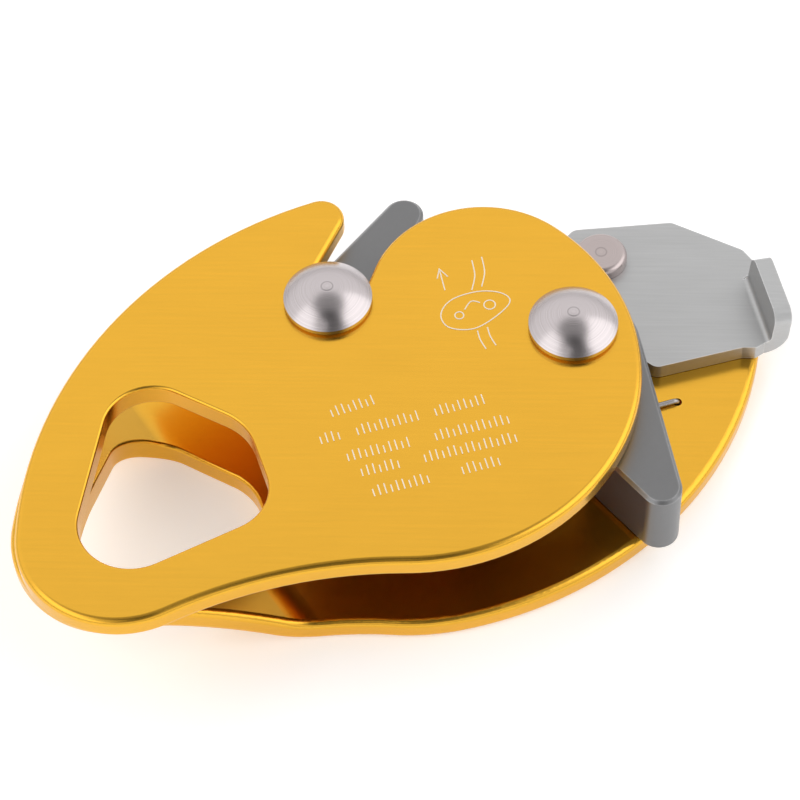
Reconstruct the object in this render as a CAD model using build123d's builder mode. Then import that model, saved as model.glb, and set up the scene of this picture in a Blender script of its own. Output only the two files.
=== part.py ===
from build123d import *
import os
from math import asin, atan, atan2, ceil, cos, degrees, hypot, pi, radians, sin, sqrt, tan

# Rope grab: two side plates, a sprung brake cam, a rope lever and a cam catch.
# Millimetres, +Z up. The origin is in the middle of the rope channel, midway between
# the cam pivot and the stop rivet, on the back face of the rear plate. +X points from
# the connector eye towards the cam pivot, along the tool.

# ---------------------------------------------------------------- driving dimensions
PLATE_T = 4.0              # thickness of both side plates
ROPE_GAP = 14.0            # free height between the plates, for rope up to 12.5
RIVET_SPACING = 38.9       # cam pivot to stop rivet
RIVET_LINE_ANGLE = 148.6   # direction from the cam pivot to the stop rivet
EDGE_ROUND = 1.1           # rounding of the plates' outer rims
EYE_EDGE = 0.5             # rounding of the connector eye's rims
MEMBER_EDGE = 0.5          # rounding of the rims of cam and lever

LOBE_R = 36.2              # large round of the plates
LOBE_CENTRE = (-9.8, -6.5)
CREST_R = 18.1             # smaller round beside the notch
CREST_ANGLE = 27.0         # where the two rounds meet
CORNER_R = 16.2            # outer round of the eye end
CORNER_CENTRE = (-61.1, -17.4)
BACK_R = 66.6              # long back of the plate
DIP_R = 74.0               # shallow hollow between the eye end and the lobe
HORN_R = 3.8               # tip of the hook beside the notch
HORN_CENTRE = (-11.3, 26.6)
NOTCH_R = 4.6              # bottom of the notch that hooks round the stop rivet
EYE_TOP = (-50.6, -1.3, 7.4)      # rounds of the connector eye: x, y, radius
EYE_INNER = (-45.1, -16.2, 7.5)
EYE_OUTER = (-58.9, -16.3, 8.4)
EYE_FLANK = (-47.1, -9.8, 10.0)

REAR_CORNER_TURN = -2.2    # rear plate's eye end, turned about the cam pivot
REAR_EYE_TURN = -0.8       # the same for its connector eye
TAIL_R = 16.8              # round of the rear plate under the catch
TAIL_CENTRE = (35.3, -3.6)
TAIL_FLANK_R = 63.0        # long round between the lobe and that end
SHOULDER_R = 12.0          # round of the rear plate's top behind the stop rivet
SHOULDER_CENTRE = (-23.9, 17.2)
JOGGLE_FROM = 60.0         # the rear plate climbs to the front one between these two
JOGGLE_TO = 80.0           # distances from the cam pivot
JOGGLE_TURN = 10.0         # direction of the climb, off the long axis
BEND_R = 8.0               # inside radius of its two bends
PLATE_CLEARANCE = 0.2      # between the two plates at the eye

RIVET_D = 7.0              # main rivet's shank
STOP_D = 6.0               # stop rivet's shank
HEAD_D = 14.0              # both domed heads
HEAD_RIM = 1.1             # upright rim of a head
HEAD_RISE = 2.7            # dome above the rim
HEAD_CLEARANCE = 0.1       # plate to head
PEEN_BORDER = 1.7          # countersunk riveted end beyond its shank, flush with the back
PEEN_ANGLE = 90.0
SLEEVE_WALL = 1.0
BUSH_WALL = 0.8
RUNNING = 0.05             # radial running clearance
SEAT = 0.05                # face clearance of turning parts
WASHER_T = 0.5
WASHER_BORDER = 1.7        # washer beyond its sleeve

CAM_HUB_R = 10.8
CAM_LOBE_R = 13.5          # gripping round
CAM_LOBE_OFFSET = 8.0
CAM_LOBE_ANGLE = 205.0
CAM_TAIL_LENGTH = 30.0     # pivot to the middle of the thumb tail's tip
CAM_TAIL_ANGLE = -87.9
CAM_TAIL_R = 3.2
CAM_ROOT_R = 5.0           # inner round where tail and lobe meet
CAM_TRAVEL = 25.0          # degrees from closed to open
GROOVE_R = 0.9             # rope grooves of the gripping round
GROOVE_COUNT = 7
GROOVE_STEP = 11.0
GROOVE_FIRST = 118.0
LUG_R = 2.4                # cam's stop lug
LUG_ANGLE = 80.0
CATCH_NOTCH_R = 1.6        # hold-open notch in the cam's hub
STOP_GAP = 0.3             # round stop pin to what rests against it

LEVER_HUB_R = 6.9
ANVIL_R = 7.5
ANVIL_OFFSET = 3.5         # the anvil stands this far out towards the rope
FINGER_R = 3.2
FINGER_LENGTH = 24.3
FINGER_ANGLE = 38.1
LEVER_TRAVEL = 25.0
HEEL_R = 2.6
HEEL_REACH = 10.2
HEEL_ANGLE = 205.0

PIN_D = 4.0                # stop pins
PIN_GAP = 2.0              # stop pins to the front plate
SPRING_WIRE = 0.9
PITCH_RATIO = 1.12         # spring pitch to wire
SPRING_TURNS = 2.5
SPRING_SIDE_GAP = 0.35     # coil to the walls of its recess
RECESS_WALL = 1.0          # member left between its bush and that recess
SPARE_TURNS = 1.6          # depth of the recess beyond the coil, in wires
LEG_HEADROOM = 1.4         # height of a leg's slot, in wires
POST_SPARE_TURNS = 1.4     # post beyond the catch's coil, in turns
SPRING_BEND_R = 0.7        # bend down into the anchor hole
SPRING_HOOK = 2.0          # depth of the wire's end in its hole
ANCHOR_GAP = 0.3           # wire to the wall of its hole
CAM_LEG_LENGTH = 15.6      # coil to anchor hole
CAM_LEG_START = -95.0      # where the leg leaves the coil
LEVER_LEG_LENGTH = 9.0
LEVER_LEG_START = 35.0
SWEEP_STEP = 3.0           # degrees between the cuts that free a leg

CATCH_PIVOT = (31.5, 10.6)
CATCH_T = 2.9
CATCH_LIFT = 0.1           # catch above the rear plate
CATCH_HEAD_D = 8.6
CATCH_HEAD_T = 2.1
CATCH_HEAD_ROUND = 1.0
CATCH_RIVET_D = 4.4
CATCH_CORNER_R = 1.8
CATCH_TRAVEL = 14.0        # degrees of lift
NOSE_R = 1.3               # nose that drops into the cam's notch
NOSE_ANGLE = 12.0
TAB_RISE = 6.2             # finger tab above the catch
TAB_LEAN = 4.0             # degrees outwards from upright
TAB_WIDTH = 13.3
TAB_CORNER_R = 2.2
TAB_BEND_R = 1.0           # inside radius of the tab's bend
TAB_REACH = 27.6           # catch pivot to the middle of the tab's foot
TAB_BEARING = -45.9
TAB_ANGLE = -10.1          # direction the tab faces, off the long axis
CATCH_PIN_D = 3.0
CATCH_PIN_REACH = 7.2
CATCH_PIN_ANGLE = 188.0
POST_D = 3.6
POST_CENTRE = (16.4, 11.2)
POST_HEAD_D = 6.6
POST_HEAD_T = 0.9
CATCH_WIRE = 0.8
CATCH_COIL_TURNS = 2.5
CATCH_LEG_LENGTH = 6.2
CATCH_LEG_START = -55.0
RIM_ROUND = 0.35           # broken edges of small parts
PIN_CHAMFER = 0.4

# ------------------------------------------------------------------ derived places
FRONT_Z = PLATE_T + ROPE_GAP
HEAD_Z = FRONT_Z + PLATE_T + HEAD_CLEARANCE
MEMBER_Z = PLATE_T + WASHER_T + SEAT
MEMBER_TOP = FRONT_Z - WASHER_T - 2 * SEAT
CATCH_Z = PLATE_T + CATCH_LIFT
CATCH_TOP = CATCH_Z + CATCH_T
SLEEVE_R = RIVET_D / 2 + SLEEVE_WALL
BUSH_R = SLEEVE_R + RUNNING + BUSH_WALL
COIL_IN_R = BUSH_R + RECESS_WALL
COIL_R = COIL_IN_R + SPRING_SIDE_GAP + SPRING_WIRE / 2
COIL_OUT_R = COIL_R + SPRING_WIRE / 2 + SPRING_SIDE_GAP
LEG_TOP = PLATE_T + SPRING_WIRE * LEG_HEADROOM + SPRING_SIDE_GAP
RECESS_DEPTH = SPRING_WIRE * (SPRING_TURNS + SPARE_TURNS)
LEG_SLOT = SPRING_WIRE + 2 * SPRING_SIDE_GAP
PIN_TOP = FRONT_Z - PIN_GAP
WASHER_R = SLEEVE_R + WASHER_BORDER
CATCH_SLEEVE_R = CATCH_RIVET_D / 2 + SLEEVE_WALL
CATCH_COIL_R = POST_D / 2 + SPRING_SIDE_GAP + CATCH_WIRE / 2
POST_TOP = PLATE_T + CATCH_WIRE * PITCH_RATIO * (CATCH_COIL_TURNS + POST_SPARE_TURNS)


def polar(centre, radius, angle):
    """Point at a radius and an angle in degrees from a centre."""
    return (centre[0] + radius * cos(radians(angle)), centre[1] + radius * sin(radians(angle)))


def beside(reach, gap):
    """Angle in degrees from an arm's axis to a place at a reach that stands a gap off it."""
    return degrees(asin(gap / reach))


CAM_PIVOT = polar((0, 0), RIVET_SPACING / 2, RIVET_LINE_ANGLE - 180)
STOP_RIVET = polar((0, 0), RIVET_SPACING / 2, RIVET_LINE_ANGLE)
CREST_CENTRE = polar(LOBE_CENTRE, LOBE_R - CREST_R, CREST_ANGLE)
CAM_LOBE_CENTRE = polar(CAM_PIVOT, CAM_LOBE_OFFSET, CAM_LOBE_ANGLE)
CAM_TIP = polar(CAM_PIVOT, CAM_TAIL_LENGTH, CAM_TAIL_ANGLE)
LUG_REACH = CAM_HUB_R + PIN_D / 2 + STOP_GAP
LUG_STEP = beside(LUG_REACH, LUG_R + PIN_D / 2 + STOP_GAP)
CAM_STOP = polar(CAM_PIVOT, LUG_REACH, LUG_ANGLE - LUG_STEP)
FINGER_TIP = polar(STOP_RIVET, FINGER_LENGTH, FINGER_ANGLE)
ANVIL_CENTRE = polar(STOP_RIVET, ANVIL_OFFSET, RIVET_LINE_ANGLE - 180)
HEEL_STEP = beside(HEEL_REACH, HEEL_R + PIN_D / 2 + STOP_GAP)
LEVER_STOP = polar(STOP_RIVET, HEEL_REACH, HEEL_ANGLE - HEEL_STEP)
NOSE_CENTRE = polar(CAM_PIVOT, CAM_HUB_R + STOP_GAP + NOSE_R, NOSE_ANGLE)
CATCH_STOP = polar(CATCH_PIVOT, CATCH_PIN_REACH, CATCH_PIN_ANGLE)
TAB_FOOT = polar(CATCH_PIVOT, TAB_REACH, TAB_BEARING)


def leg_end(centre, radius, start, length):
    """Where a leg that leaves a coil along its tangent ends."""
    return polar(polar(centre, radius, start), length, start + 90)


CAM_ANCHOR = leg_end(CAM_PIVOT, COIL_R, CAM_LEG_START, CAM_LEG_LENGTH)
LEVER_ANCHOR = leg_end(STOP_RIVET, COIL_R, LEVER_LEG_START, LEVER_LEG_LENGTH)


# ------------------------------------------------------------------ outline geometry
def bearing(centre, point):
    """Direction in degrees from a centre to a point."""
    return degrees(atan2(point[1] - centre[1], point[0] - centre[0]))


def distance(a, b):
    return hypot(b[0] - a[0], b[1] - a[1])


def meet(centre_a, reach_a, centre_b, reach_b, side):
    """Point at given distances from two centres, left (+1) or right (-1) of a to b."""
    span = distance(centre_a, centre_b)
    along = (reach_a**2 - reach_b**2 + span**2) / (2 * span)
    across = sqrt(reach_a**2 - along**2)
    heading = bearing(centre_a, centre_b)
    return polar(polar(centre_a, along, heading), across, heading + 90 * side)


def touch(centre, radius, other):
    """Point of a circle on the line to another centre."""
    return polar(centre, radius, bearing(centre, other))


def turned(point, about, angle):
    """Point turned about another point."""
    return polar(about, distance(about, point), bearing(about, point) + angle)


def tangent_line(centre_a, r_a, centre_b, r_b, side_a, side_b):
    """Ends of the line that touches two circles; each side is +1 where its centre is left."""
    turn = degrees(asin((side_a * r_a - side_b * r_b) / distance(centre_a, centre_b)))
    heading = bearing(centre_a, centre_b) + turn
    return (polar(centre_a, r_a, heading - 90 * side_a), polar(centre_b, r_b, heading - 90 * side_b))


def round_arc(centre, start, end, clockwise=True):
    """Arc about a centre from start to end, added to the open line."""
    sweep = (bearing(centre, end) - bearing(centre, start)) % 360
    if clockwise:
        sweep -= 360
    middle = polar(centre, distance(centre, start), bearing(centre, start) + sweep / 2)
    return ThreePointArc(start, middle, end)


def front_outline():
    """Outline of the front plate, clockwise from the eye end."""
    back = meet(CORNER_CENTRE, BACK_R - CORNER_R, HORN_CENTRE, BACK_R - HORN_R, -1)
    dip = meet(CORNER_CENTRE, DIP_R + CORNER_R, LOBE_CENTRE, DIP_R + LOBE_R, -1)
    back_start = touch(back, BACK_R, CORNER_CENTRE)
    back_end = touch(back, BACK_R, HORN_CENTRE)
    horn_end, notch_start = tangent_line(HORN_CENTRE, HORN_R, STOP_RIVET, NOTCH_R, -1, 1)
    notch_end, crest_start = tangent_line(STOP_RIVET, NOTCH_R, CREST_CENTRE, CREST_R, 1, -1)
    lobe_start = polar(LOBE_CENTRE, LOBE_R, CREST_ANGLE)
    lobe_end = touch(LOBE_CENTRE, LOBE_R, dip)
    dip_end = touch(CORNER_CENTRE, CORNER_R, dip)
    round_arc(back, back_start, back_end)
    round_arc(HORN_CENTRE, back_end, horn_end)
    Line(horn_end, notch_start)
    round_arc(STOP_RIVET, notch_start, notch_end, clockwise=False)
    Line(notch_end, crest_start)
    round_arc(CREST_CENTRE, crest_start, lobe_start)
    round_arc(LOBE_CENTRE, lobe_start, lobe_end)
    round_arc(dip, lobe_end, dip_end, clockwise=False)
    round_arc(CORNER_CENTRE, dip_end, back_start)


def rear_outline():
    """Outline of the rear plate, clockwise from the eye end."""
    corner = turned(CORNER_CENTRE, CAM_PIVOT, REAR_CORNER_TURN)
    back = meet(corner, BACK_R - CORNER_R, SHOULDER_CENTRE, BACK_R - SHOULDER_R, -1)
    flank = meet(LOBE_CENTRE, TAIL_FLANK_R - LOBE_R, TAIL_CENTRE, TAIL_FLANK_R - TAIL_R, 1)
    dip = meet(corner, DIP_R + CORNER_R, LOBE_CENTRE, DIP_R + LOBE_R, -1)
    back_start = touch(back, BACK_R, corner)
    back_end = touch(back, BACK_R, SHOULDER_CENTRE)
    top_start, top_end = tangent_line(SHOULDER_CENTRE, SHOULDER_R, TAIL_CENTRE, TAIL_R, -1, -1)
    flank_start = touch(flank, TAIL_FLANK_R, TAIL_CENTRE)
    flank_end = touch(flank, TAIL_FLANK_R, LOBE_CENTRE)
    lobe_end = touch(LOBE_CENTRE, LOBE_R, dip)
    dip_end = touch(corner, CORNER_R, dip)
    round_arc(back, back_start, back_end)
    round_arc(SHOULDER_CENTRE, back_end, top_start)
    Line(top_start, top_end)
    round_arc(TAIL_CENTRE, top_end, flank_start)
    round_arc(flank, flank_start, flank_end)
    round_arc(LOBE_CENTRE, flank_end, lobe_end)
    round_arc(dip, lobe_end, dip_end, clockwise=False)
    round_arc(corner, dip_end, back_start)


def rim_edges(plate_faces):
    """Edges between the upright walls among a plate's faces and its two skins."""
    walls = plate_faces.filter_by(lambda f: abs(f.normal_at().Z) < 0.05)
    edges = [e for wall in walls for e in wall.edges() if abs(e.tangent_at(0.5).Z) < 0.9]
    return ShapeList(edges)


def cut_eye(z, turn):
    """Connector eye through a plate: the hull of four rounds, with its rims rounded."""
    with BuildSketch(Plane.XY.offset(z)) as eye:
        for x, y, radius in (EYE_TOP, EYE_INNER, EYE_OUTER, EYE_FLANK):
            with Locations(turned((x, y), CAM_PIVOT, turn)):
                Circle(radius)
        make_hull()
    extrude(eye.sketch, amount=FRONT_Z, mode=Mode.SUBTRACT)
    fillet(rim_edges(faces(Select.LAST)), EYE_EDGE)


def place(centre, z):
    """Plane parallel to the plates at a height, centred on a point."""
    return Plane(origin=(centre[0], centre[1], z))


def upright(centre, z):
    """Upright plane through a point, its own X along the tool and its Y up."""
    return Plane(origin=(centre[0], centre[1], z), x_dir=(1, 0, 0), z_dir=(0, -1, 0))


# ----------------------------------------------------------------------- side plates
with BuildPart() as front_plate:
    with BuildSketch(Plane.XY.offset(FRONT_Z)):
        with BuildLine():
            front_outline()
        make_face()
    extrude(amount=PLATE_T)
    fillet(rim_edges(front_plate.faces()), EDGE_ROUND)
    cut_eye(FRONT_Z, 0)
    with Locations(place(CAM_PIVOT, FRONT_Z + PLATE_T)):
        Hole(SLEEVE_R)


def joggle_strip():
    """Section of the rear plate along its climb towards the front plate."""
    rise = ROPE_GAP - PLATE_CLEARANCE
    slope = atan(rise / (JOGGLE_TO - JOGGLE_FROM))
    shift = PLATE_T * tan(slope / 2)
    far, near = -2 * LOBE_R - TAIL_R, JOGGLE_TO + 2 * CORNER_R
    lower = FilletPolyline((far, 0), (JOGGLE_FROM, 0), (JOGGLE_TO, rise), (near, rise),
                           radius=[BEND_R + PLATE_T, BEND_R])
    upper = FilletPolyline((far, PLATE_T), (JOGGLE_FROM - shift, PLATE_T),
                           (JOGGLE_TO - shift, rise + PLATE_T), (near, rise + PLATE_T),
                           radius=[BEND_R, BEND_R + PLATE_T])
    Line(lower @ 0, upper @ 0)
    Line(lower @ 1, upper @ 1)


climb = Plane(origin=(CAM_PIVOT[0], CAM_PIVOT[1], 0),
              x_dir=(-cos(radians(JOGGLE_TURN)), -sin(radians(JOGGLE_TURN)), 0),
              z_dir=(-sin(radians(JOGGLE_TURN)), cos(radians(JOGGLE_TURN)), 0))
with BuildPart() as rear_plate:
    with BuildSketch(climb):
        with BuildLine():
            joggle_strip()
        make_face()
    extrude(amount=3 * LOBE_R, both=True)
    with BuildSketch() as blank:
        with BuildLine():
            rear_outline()
        make_face()
    extrude(amount=FRONT_Z, mode=Mode.INTERSECT)
    fillet(rim_edges(rear_plate.faces()), EDGE_ROUND)
    cut_eye(0, REAR_EYE_TURN)
    for point, shank in ((CAM_PIVOT, RIVET_D), (STOP_RIVET, STOP_D), (CATCH_PIVOT, CATCH_RIVET_D)):
        with Locations(Plane(origin=(point[0], point[1], 0), z_dir=(0, 0, -1))):
            CounterSinkHole(shank / 2, shank / 2 + PEEN_BORDER, counter_sink_angle=PEEN_ANGLE)
    for anchor in (CAM_ANCHOR, LEVER_ANCHOR):
        with Locations(place(anchor, PLATE_T)):
            Hole(SPRING_WIRE / 2 + ANCHOR_GAP, depth=SPRING_HOOK + SPRING_WIRE)


# ---------------------------------------------------------------------------- rivets
def riveted_shank(centre, diameter, top):
    """Shank through the rear plate with its flush countersunk end."""
    with BuildSketch(upright(centre, 0)) as section:
        with BuildLine():
            peen = diameter / 2 + PEEN_BORDER
            Polyline((0, 0), (peen, 0), (diameter / 2, PEEN_BORDER), (diameter / 2, top), (0, top),
                     close=True)
        make_face()
    revolve(section.sketch, axis=Axis((centre[0], centre[1], 0), (0, 0, 1)))


def domed_rivet(centre, diameter):
    """Rivet with a low domed head over the front plate."""
    riveted_shank(centre, diameter, HEAD_Z)
    with BuildSketch(upright(centre, HEAD_Z)) as section:
        with BuildLine():
            rim = HEAD_D / 2
            Line((0, 0), (rim - RIM_ROUND, 0))
            Line((rim - RIM_ROUND, 0), (rim, RIM_ROUND))
            Line((rim, RIM_ROUND), (rim, HEAD_RIM))
            RadiusArc((rim, HEAD_RIM), (0, HEAD_RIM + HEAD_RISE), -dome_radius())
            Line((0, HEAD_RIM + HEAD_RISE), (0, 0))
        make_face()
    revolve(section.sketch, axis=Axis((centre[0], centre[1], 0), (0, 0, 1)))


def dome_radius():
    """Radius of the sphere through the rim and the top of a head."""
    return ((HEAD_D / 2)**2 + HEAD_RISE**2) / (2 * HEAD_RISE)


with BuildPart() as main_rivet:
    domed_rivet(CAM_PIVOT, RIVET_D)

with BuildPart() as stop_rivet:
    domed_rivet(STOP_RIVET, STOP_D)

with BuildPart() as catch_rivet:
    riveted_shank(CATCH_PIVOT, CATCH_RIVET_D, CATCH_TOP + SEAT)
    with BuildSketch(place(CATCH_PIVOT, CATCH_TOP + SEAT)):
        Circle(CATCH_HEAD_D / 2)
    extrude(amount=CATCH_HEAD_T)
    fillet(catch_rivet.faces().sort_by(Axis.Z)[-1].edges(), CATCH_HEAD_ROUND)


# ------------------------------------------------- sleeves, bushes, washers and pins
def ring(centre, z, inner, outer, height):
    """Plain ring standing at a height."""
    with BuildSketch(place(centre, z)) as section:
        Circle(outer)
        Circle(inner, mode=Mode.SUBTRACT)
    extrude(section.sketch, amount=height)


with BuildPart() as cam_sleeve:
    ring(CAM_PIVOT, PLATE_T, RIVET_D / 2, SLEEVE_R, ROPE_GAP - SEAT)

with BuildPart() as stop_sleeve:
    ring(STOP_RIVET, PLATE_T, STOP_D / 2, SLEEVE_R, ROPE_GAP - SEAT)

with BuildPart() as catch_sleeve:
    ring(CATCH_PIVOT, PLATE_T, CATCH_RIVET_D / 2, CATCH_SLEEVE_R, CATCH_TOP + SEAT - PLATE_T)

with BuildPart() as front_plate_bush:
    ring(CAM_PIVOT, FRONT_Z, RIVET_D / 2 + RUNNING, SLEEVE_R, PLATE_T)

with BuildPart() as cam_bush:
    ring(CAM_PIVOT, MEMBER_Z, SLEEVE_R + RUNNING, BUSH_R, MEMBER_TOP - MEMBER_Z)

with BuildPart() as lever_bush:
    ring(STOP_RIVET, MEMBER_Z, SLEEVE_R + RUNNING, BUSH_R, MEMBER_TOP - MEMBER_Z)

with BuildPart() as cam_washer_lower:
    ring(CAM_PIVOT, PLATE_T, SLEEVE_R, WASHER_R, WASHER_T)

with BuildPart() as cam_washer_upper:
    ring(CAM_PIVOT, MEMBER_TOP + SEAT, SLEEVE_R, WASHER_R, WASHER_T - SEAT)

with BuildPart() as lever_washer_lower:
    ring(STOP_RIVET, PLATE_T, SLEEVE_R, WASHER_R, WASHER_T)

with BuildPart() as lever_washer_upper:
    ring(STOP_RIVET, MEMBER_TOP + SEAT, SLEEVE_R, WASHER_R, WASHER_T - SEAT)


def stop_pin(centre, diameter, top):
    """Pin pressed into the rear plate, standing up between the plates."""
    with BuildSketch(place(centre, PLATE_T)) as section:
        Circle(diameter / 2)
    extrude(section.sketch, amount=top - PLATE_T)
    chamfer(faces(Select.LAST).sort_by(Axis.Z)[-1].edges(), PIN_CHAMFER)


with BuildPart() as cam_stop_pin:
    stop_pin(CAM_STOP, PIN_D, PIN_TOP)

with BuildPart() as lever_stop_pin:
    stop_pin(LEVER_STOP, PIN_D, PIN_TOP)

with BuildPart() as catch_stop_pin:
    stop_pin(CATCH_STOP, CATCH_PIN_D, CATCH_TOP + PIN_CHAMFER)

with BuildPart() as spring_post:
    stop_pin(POST_CENTRE, POST_D, POST_TOP + POST_HEAD_T)
    with BuildSketch(place(POST_CENTRE, POST_TOP)):
        Circle(POST_HEAD_D / 2)
    extrude(amount=POST_HEAD_T)


# ------------------------------------------------------------------ cam, lever, catch
def hull_of(*rounds):
    """Common hull of rounds given as (centre, radius)."""
    with BuildSketch(mode=Mode.PRIVATE) as group:
        for centre, radius in rounds:
            with Locations(centre):
                Circle(radius)
        make_hull()
    add(group.sketch)


def leg_sweep(centre, start, length, travel):
    """Slot that a fixed spring leg needs in a member that turns by its travel."""
    steps = ceil(travel / SWEEP_STEP)
    for step in range(steps + 1):
        angle = start - travel * step / steps
        middle = leg_end(centre, COIL_R, angle, length / 2)
        with Locations(Location((middle[0], middle[1], 0), (0, 0, angle + 90))):
            Rectangle(length, LEG_SLOT)


def spring_recess(centre):
    """Ring-shaped recess in a member's underside that holds its coil."""
    with BuildSketch(place(centre, MEMBER_Z)) as section:
        Circle(COIL_OUT_R)
        Circle(COIL_IN_R, mode=Mode.SUBTRACT)
    extrude(section.sketch, amount=RECESS_DEPTH, mode=Mode.SUBTRACT)


def member_rims(member):
    """Outer edges of a member's two flat faces."""
    flats = [member.faces().sort_by(Axis.Z)[-1], member.faces().sort_by(Axis.Z)[0]]
    return ShapeList([e for flat in flats for e in flat.outer_wire().edges()])


with BuildPart() as brake_cam:
    with BuildSketch(Plane.XY.offset(MEMBER_Z)) as cam_plan:
        hull_of((CAM_PIVOT, CAM_HUB_R), (CAM_TIP, CAM_TAIL_R))
        with Locations(CAM_LOBE_CENTRE):
            Circle(CAM_LOBE_R)
        root = polar(CAM_PIVOT, CAM_TAIL_LENGTH - 2 * CAM_ROOT_R, CAM_TAIL_ANGLE - CAM_ROOT_R)
        fillet(cam_plan.vertices().sort_by_distance(root)[0], CAM_ROOT_R)
        hull_of((CAM_PIVOT, LUG_R), (polar(CAM_PIVOT, LUG_REACH, LUG_ANGLE), LUG_R))
    extrude(amount=MEMBER_TOP - MEMBER_Z)
    chamfer(member_rims(brake_cam), MEMBER_EDGE)
    with BuildSketch(Plane.XY.offset(MEMBER_Z)):
        for groove in range(GROOVE_COUNT):
            angle = GROOVE_FIRST + groove * GROOVE_STEP
            with Locations(polar(CAM_LOBE_CENTRE, CAM_LOBE_R + GROOVE_R / 2, angle)):
                Circle(GROOVE_R)
    extrude(amount=ROPE_GAP, mode=Mode.SUBTRACT)
    with BuildSketch(place(CAM_PIVOT, MEMBER_Z)):
        Circle(BUSH_R)
    extrude(amount=ROPE_GAP, mode=Mode.SUBTRACT)
    spring_recess(CAM_PIVOT)
    with BuildSketch(Plane.XY.offset(MEMBER_Z)):
        leg_sweep(CAM_PIVOT, CAM_LEG_START, CAM_LEG_LENGTH, CAM_TRAVEL)
    extrude(amount=LEG_TOP - MEMBER_Z, mode=Mode.SUBTRACT)
    with BuildSketch(place(polar(CAM_PIVOT, CAM_HUB_R, NOSE_ANGLE - CAM_TRAVEL), MEMBER_Z)):
        Circle(CATCH_NOTCH_R)
    extrude(amount=CATCH_TOP + STOP_GAP - MEMBER_Z, mode=Mode.SUBTRACT)

with BuildPart() as rope_lever:
    with BuildSketch(Plane.XY.offset(MEMBER_Z)):
        hull_of((STOP_RIVET, LEVER_HUB_R), (FINGER_TIP, FINGER_R))
        hull_of((STOP_RIVET, LEVER_HUB_R), (ANVIL_CENTRE, ANVIL_R))
        hull_of((STOP_RIVET, HEEL_R), (polar(STOP_RIVET, HEEL_REACH, HEEL_ANGLE), HEEL_R))
    extrude(amount=MEMBER_TOP - MEMBER_Z)
    chamfer(member_rims(rope_lever), MEMBER_EDGE)
    with BuildSketch(place(STOP_RIVET, MEMBER_Z)):
        Circle(BUSH_R)
    extrude(amount=ROPE_GAP, mode=Mode.SUBTRACT)
    spring_recess(STOP_RIVET)
    with BuildSketch(Plane.XY.offset(MEMBER_Z)):
        leg_sweep(STOP_RIVET, LEVER_LEG_START, LEVER_LEG_LENGTH, LEVER_TRAVEL)
    extrude(amount=LEG_TOP - MEMBER_Z, mode=Mode.SUBTRACT)


def catch_outline():
    """Flat part of the catch, clockwise from the left of its rivet to the nose."""
    x, y = CATCH_PIVOT
    setback = TAB_BEND_R * tan(radians((90 - TAB_LEAN) / 2))
    bend = polar(TAB_FOOT, setback, TAB_ANGLE + 180)
    upper = polar(bend, TAB_WIDTH / 2, TAB_ANGLE + 90)
    lower = polar(bend, TAB_WIDTH / 2, TAB_ANGLE - 90)
    nose_x, nose_y = NOSE_CENTRE
    corners = [(x - 8.5, y + 0.5), (x - 5.5, y + 5.5), (x - 1.5, y + 7.6), (x + 14.1, y + 2.4),
               (x + 22.3, y - 7.6), (x + 23.2, y - 12.0), upper, lower,
               (lower[0] - 1.8, lower[1] - 0.3), (lower[0] - 3.8, lower[1] + 0.6),
               (nose_x + 1.6, nose_y - 5.4), (nose_x - NOSE_R, nose_y), (x - 4.2, y - 8.6)]
    small = CATCH_CORNER_R / 4
    radii = [CATCH_CORNER_R] * 6 + [small] * 4 + [CATCH_CORNER_R, small, CATCH_CORNER_R]
    FilletPolyline(*corners, radius=radii, close=True)


def tab_section():
    """Section of the finger tab through its bend, out from the foot and up."""
    up = (sin(radians(TAB_LEAN)), cos(radians(TAB_LEAN)))
    tip = (TAB_RISE * up[0] / up[1], CATCH_T + TAB_RISE)
    corner = CATCH_T * tan(radians((90 - TAB_LEAN) / 2))
    back = -TAB_BEND_R - CATCH_T
    inner = FilletPolyline((back, CATCH_T), (0, CATCH_T), tip, radius=TAB_BEND_R)
    outer = FilletPolyline((back, 0), (corner, 0), (tip[0] + CATCH_T * up[1], tip[1] - CATCH_T * up[0]),
                           radius=TAB_BEND_R + CATCH_T)
    Line(inner @ 0, outer @ 0)
    Line(inner @ 1, outer @ 1)


with BuildPart() as cam_catch:
    with BuildSketch(Plane.XY.offset(CATCH_Z)) as catch_plan:
        with BuildLine():
            catch_outline()
        make_face()
        with Locations(NOSE_CENTRE):
            Circle(NOSE_R)
    extrude(amount=CATCH_T)
    side = Plane(origin=(TAB_FOOT[0], TAB_FOOT[1], CATCH_Z),
                 x_dir=(cos(radians(TAB_ANGLE)), sin(radians(TAB_ANGLE)), 0),
                 z_dir=(sin(radians(TAB_ANGLE)), -cos(radians(TAB_ANGLE)), 0))
    with BuildSketch(side):
        with BuildLine():
            tab_section()
        make_face()
    extrude(amount=TAB_WIDTH / 2, both=True)
    tab_top = cam_catch.faces().sort_by(Axis.Z)[-1]
    fillet(tab_top.edges().group_by(SortBy.LENGTH)[0], TAB_CORNER_R)
    with BuildSketch(place(CATCH_PIVOT, CATCH_Z)):
        Circle(CATCH_SLEEVE_R + RUNNING)
    extrude(amount=CATCH_T, mode=Mode.SUBTRACT)
    with BuildSketch(Plane.XY.offset(CATCH_Z)):
        slot_r = CATCH_PIN_D / 2 + STOP_GAP
        hull_of((CATCH_STOP, slot_r), (turned(CATCH_STOP, CATCH_PIVOT, -CATCH_TRAVEL), slot_r))
    extrude(amount=CATCH_T, mode=Mode.SUBTRACT)


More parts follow.
